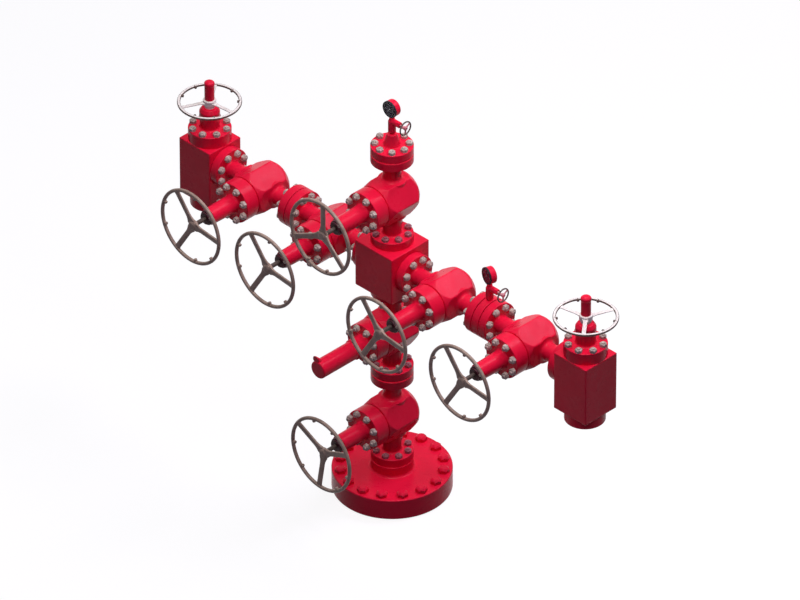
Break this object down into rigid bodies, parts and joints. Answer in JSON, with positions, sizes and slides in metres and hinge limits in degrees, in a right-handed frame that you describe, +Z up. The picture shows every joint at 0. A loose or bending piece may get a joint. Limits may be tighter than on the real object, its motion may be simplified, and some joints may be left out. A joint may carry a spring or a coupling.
{
  "type": "oil wellhead valve stack",
  "caption": "Red wellhead tree: base flange, stacked gate valves with handwheels, cross block, two wings that end in corner chokes with horizontal wheels, and pressure gauges.",
  "frame": {"origin": "centre of the base flange's underside, on the axis of the well", "axes": "+X along the wing that holds the instrument flange, +Z up the well's axis; the gate valves' handwheels face -Y"},
  "size_m": [3.1728, 0.887, 2.504],
  "materials": {
    "red_paint": "glossy enamel over machined and forged steel",
    "wheel_metal": "worn warm grey metal",
    "black_oxide": "black oxide, oily",
    "bright_steel": "bare steel"
  },
  "bodies": {
    "root": {"base_flange": "red_paint", "lower_master_valve_body": "red_paint", "lower_master_bonnet": "red_paint", "lower_master_bearing_cap": "black_oxide", "upper_master_valve_body": "red_paint", "upper_master_bonnet": "red_paint", "upper_master_stem_housing": "red_paint", "swab_valve_body": "red_paint", "swab_bonnet": "red_paint", "swab_bearing_cap": "black_oxide", "left_inner_valve_body": "red_paint", "left_inner_bonnet": "red_paint", "left_inner_bearing_cap": "black_oxide", "left_outer_valve_body": "red_paint", "left_outer_bonnet": "red_paint", "left_outer_bearing_cap": "black_oxide", "right_inner_valve_body": "red_paint", "right_inner_bonnet": "red_paint", "right_inner_bearing_cap": "black_oxide", "right_outer_valve_body": "red_paint", "right_outer_bonnet": "red_paint", "right_outer_bearing_cap": "black_oxide", "cross_block": "red_paint", "tree_cap_flange": "red_paint", "instrument_flange": "red_paint", "left_choke_body": "red_paint", "right_choke_body": "red_paint", "left_choke_bonnet": "red_paint", "right_choke_bonnet": "red_paint", "top_needle_valve": "red_paint", "wing_needle_valve": "red_paint", "top_gauge": "red_paint", "wing_gauge": "red_paint"},
    "lower_master_wheel": {"lower_master_handwheel": "wheel_metal"},
    "swab_wheel": {"swab_handwheel": "wheel_metal"},
    "left_inner_wheel": {"left_inner_handwheel": "wheel_metal"},
    "left_outer_wheel": {"left_outer_handwheel": "wheel_metal"},
    "right_inner_wheel": {"right_inner_handwheel": "wheel_metal"},
    "right_outer_wheel": {"right_outer_handwheel": "wheel_metal"},
    "left_choke_drive": {"left_choke_wheel": "wheel_metal", "left_choke_stem_cover": "red_paint"},
    "right_choke_drive": {"right_choke_wheel": "wheel_metal", "right_choke_stem_cover": "red_paint"},
    "top_needle_drive": {"top_needle_wheel": "bright_steel"},
    "wing_needle_drive": {"wing_needle_wheel": "bright_steel"}
  },
  "joints": [
    {"name": "lower_master_wheel_turn", "type": "hinge", "parent": "root", "child": "lower_master_wheel", "pos_m": [0, -0.515, 0.4723], "axis": [0, -1, 0], "range_deg": [0, 4830]},
    {"name": "swab_wheel_turn", "type": "hinge", "parent": "root", "child": "swab_wheel", "pos_m": [0, -0.515, 1.8902], "axis": [0, -1, 0], "range_deg": [0, 4830]},
    {"name": "left_inner_wheel_turn", "type": "hinge", "parent": "root", "child": "left_inner_wheel", "pos_m": [-0.4206, -0.515, 1.4681], "axis": [0, -1, 0], "range_deg": [0, 4830]},
    {"name": "left_outer_wheel_turn", "type": "hinge", "parent": "root", "child": "left_outer_wheel", "pos_m": [-0.9858, -0.515, 1.4681], "axis": [0, -1, 0], "range_deg": [0, 4830]},
    {"name": "right_inner_wheel_turn", "type": "hinge", "parent": "root", "child": "right_inner_wheel", "pos_m": [0.4206, -0.515, 1.4681], "axis": [0, -1, 0], "range_deg": [0, 4830]},
    {"name": "right_outer_wheel_turn", "type": "hinge", "parent": "root", "child": "right_outer_wheel", "pos_m": [1.0378, -0.515, 1.4681], "axis": [0, -1, 0], "range_deg": [0, 4830]},
    {"name": "left_choke_wheel_turn", "type": "hinge", "parent": "root", "child": "left_choke_drive", "pos_m": [-1.3854, 0, 1.8281], "axis": [0, 0, 1], "range_deg": [0, 2740]},
    {"name": "right_choke_wheel_turn", "type": "hinge", "parent": "root", "child": "right_choke_drive", "pos_m": [1.4374, 0, 1.8281], "axis": [0, 0, 1], "range_deg": [0, 2740]},
    {"name": "top_needle_wheel_turn", "type": "hinge", "parent": "root", "child": "top_needle_drive", "pos_m": [0.1, 0, 2.374], "axis": [1, 0, 0], "range_deg": [0, 1550]},
    {"name": "wing_needle_wheel_turn", "type": "hinge", "parent": "root", "child": "wing_needle_drive", "pos_m": [0.8292, 0, 1.6601], "axis": [1, 0, 0], "range_deg": [0, 1550]}
  ]
}
